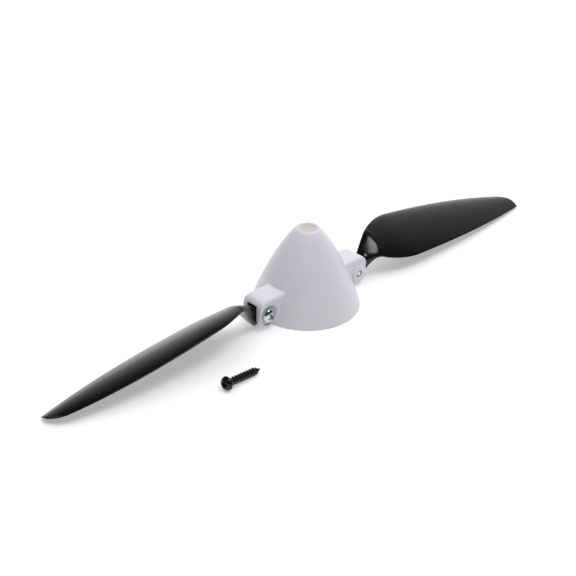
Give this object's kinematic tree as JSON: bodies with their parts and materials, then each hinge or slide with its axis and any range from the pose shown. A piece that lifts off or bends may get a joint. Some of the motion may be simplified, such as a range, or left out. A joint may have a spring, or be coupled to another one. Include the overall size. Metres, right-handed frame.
{
  "type": "folding propeller",
  "caption": "Folding propeller for a small electric model glider: spinner hub with clevis lugs, hinged twisted blades, pivot screws and a loose mounting screw.",
  "frame": {"origin": "mouth of the shaft bore, on the spin axis, in the plane of the spinner's rear rim", "axes": "+Z forward along the spin axis towards the nose; the blades reach out along +X and -X; +Y is the leading side of the +X blade"},
  "size_m": [0.1302, 0.0256, 0.0175],
  "materials": {
    "spinner_plastic": "semi-gloss white with a faint lavender cast",
    "blade_plastic": "satin black",
    "pivot_steel": "bright zinc plate",
    "black_steel": "black oxide, slightly oily"
  },
  "bodies": {
    "hub": {"spinner_hub": "spinner_plastic", "pivot_screw_a": "pivot_steel", "pivot_screw_b": "pivot_steel", "mounting_screw": "black_steel"},
    "blade_a": {"blade_a": "blade_plastic"},
    "blade_b": {"blade_b": "blade_plastic"}
  },
  "joints": [
    {"name": "fold_a", "type": "hinge", "parent": "hub", "child": "blade_a", "pos_m": [0.01265, 0, 0.00315], "axis": [0, 1, 0], "range_deg": [-6, 84]},
    {"name": "fold_b", "type": "hinge", "parent": "hub", "child": "blade_b", "pos_m": [-0.01265, 0, 0.00315], "axis": [0, -1, 0], "range_deg": [-6, 84]}
  ]
}
